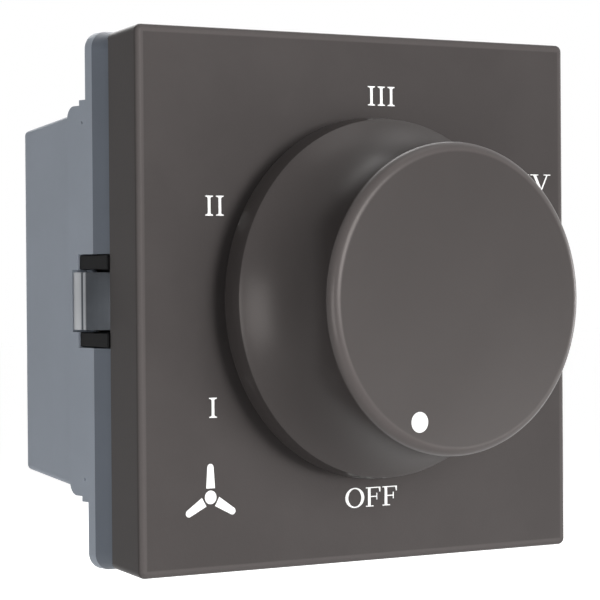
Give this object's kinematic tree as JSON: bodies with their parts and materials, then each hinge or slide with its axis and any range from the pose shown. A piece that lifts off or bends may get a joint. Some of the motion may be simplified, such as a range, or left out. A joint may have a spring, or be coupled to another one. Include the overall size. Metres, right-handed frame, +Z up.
{
  "type": "fan speed control switch",
  "caption": "Square wall plate fan speed switch with a large round flared knob, OFF and I to IV scale, fan symbol, side spring clips and rear screw terminals.",
  "frame": {"origin": "centre of the seat plane, the rear face of the casing flange, where the switch's axis crosses it", "axes": "+Y into the wall, +Z up, +X to the right as seen from the front"},
  "size_m": [0.046, 0.033, 0.045],
  "materials": {
    "cover_anthracite": "fine matt moulded plastic, anthracite",
    "knob_anthracite": "fine matt moulded plastic, anthracite",
    "legend_white": "matt white ink",
    "frame_grey": "matt moulded plastic, dark blue grey",
    "casing_grey": "matt moulded plastic, blue grey",
    "holder_black": "matt moulded plastic, black",
    "base_cream": "moulded insulating plastic, cream",
    "shaft_nylon": "natural nylon",
    "spring_steel": "rolled spring steel",
    "zinc_screw": "zinc plated steel",
    "terminal_steel": "nickel plated steel",
    "contact_brass": "stamped brass",
    "contact_bronze": "phosphor bronze"
  },
  "bodies": {
    "root": {"cover_plate": "cover_anthracite", "scale_legend": "legend_white", "fan_symbol": "legend_white", "front_frame": "frame_grey", "rear_casing": "casing_grey", "casing_screws": "zinc_screw", "base_screws": "zinc_screw", "switch_base": "base_cream", "detent_spring": "spring_steel", "left_clip_holder": "holder_black", "right_clip_holder": "holder_black", "contact_speed_1": "contact_brass", "contact_speed_2": "contact_brass", "contact_speed_3": "contact_brass", "contact_speed_4": "contact_brass", "contact_common": "contact_brass"},
    "knob": {"knob": "knob_anthracite", "pointer_dot": "legend_white", "knob_grip_spring": "spring_steel", "shaft": "shaft_nylon", "rotor": "shaft_nylon", "moving_contact": "contact_bronze"},
    "left_clip": {"left_clip": "spring_steel"},
    "right_clip": {"right_clip": "spring_steel"},
    "screw_speed_1": {"terminal_screw_speed_1": "zinc_screw"},
    "cage_speed_1": {"terminal_cage_speed_1": "terminal_steel"},
    "screw_speed_2": {"terminal_screw_speed_2": "zinc_screw"},
    "cage_speed_2": {"terminal_cage_speed_2": "terminal_steel"},
    "screw_speed_3": {"terminal_screw_speed_3": "zinc_screw"},
    "cage_speed_3": {"terminal_cage_speed_3": "terminal_steel"},
    "screw_speed_4": {"terminal_screw_speed_4": "zinc_screw"},
    "cage_speed_4": {"terminal_cage_speed_4": "terminal_steel"},
    "screw_common": {"terminal_screw_common": "zinc_screw"},
    "cage_common": {"terminal_cage_common": "terminal_steel"}
  },
  "joints": [
    {"name": "knob_turn", "type": "hinge", "parent": "root", "child": "knob", "pos_m": [0, 0, 0], "axis": [0, 1, 0], "range_deg": [-23.5, 216.5]},
    {"name": "left_clip_flex", "type": "hinge", "parent": "root", "child": "left_clip", "pos_m": [-0.02135, -0.00285, 0], "axis": [0, 0, -1], "range_deg": [0, 9], "stiffness_Nm_per_rad": 0.1},
    {"name": "right_clip_flex", "type": "hinge", "parent": "root", "child": "right_clip", "pos_m": [0.02135, -0.00285, 0], "axis": [0, 0, 1], "range_deg": [0, 9], "stiffness_Nm_per_rad": 0.1},
    {"name": "screw_turn_speed_1", "type": "hinge", "parent": "root", "child": "screw_speed_1", "pos_m": [-0.012, 0.0071, 0], "axis": [0, 0, 1], "range_deg": [0, 1440]},
    {"name": "cage_lift_speed_1", "type": "slide", "parent": "root", "child": "cage_speed_1", "axis": [0, 0, -1], "range_m": [0, 0.002]},
    {"name": "screw_turn_speed_2", "type": "hinge", "parent": "root", "child": "screw_speed_2", "pos_m": [-0.012, 0.0071, 0], "axis": [0, 0, -1], "range_deg": [0, 1440]},
    {"name": "cage_lift_speed_2", "type": "slide", "parent": "root", "child": "cage_speed_2", "axis": [0, 0, 1], "range_m": [0, 0.002]},
    {"name": "screw_turn_speed_3", "type": "hinge", "parent": "root", "child": "screw_speed_3", "pos_m": [0, 0.0071, 0], "axis": [0, 0, -1], "range_deg": [0, 1440]},
    {"name": "cage_lift_speed_3", "type": "slide", "parent": "root", "child": "cage_speed_3", "axis": [0, 0, 1], "range_m": [0, 0.002]},
    {"name": "screw_turn_speed_4", "type": "hinge", "parent": "root", "child": "screw_speed_4", "pos_m": [0.012, 0.0071, 0], "axis": [0, 0, -1], "range_deg": [0, 1440]},
    {"name": "cage_lift_speed_4", "type": "slide", "parent": "root", "child": "cage_speed_4", "axis": [0, 0, 1], "range_m": [0, 0.002]},
    {"name": "screw_turn_common", "type": "hinge", "parent": "root", "child": "screw_common", "pos_m": [0.012, 0.0071, 0], "axis": [0, 0, 1], "range_deg": [0, 1440]},
    {"name": "cage_lift_common", "type": "slide", "parent": "root", "child": "cage_common", "axis": [0, 0, -1], "range_m": [0, 0.002]}
  ],
  "couplings": [
    {"joint": "screw_turn_speed_1", "follows": "cage_lift_speed_1", "rad_per_m": 12566},
    {"joint": "screw_turn_speed_2", "follows": "cage_lift_speed_2", "rad_per_m": 12566},
    {"joint": "screw_turn_speed_3", "follows": "cage_lift_speed_3", "rad_per_m": 12566},
    {"joint": "screw_turn_speed_4", "follows": "cage_lift_speed_4", "rad_per_m": 12566},
    {"joint": "screw_turn_common", "follows": "cage_lift_common", "rad_per_m": 12566}
  ]
}
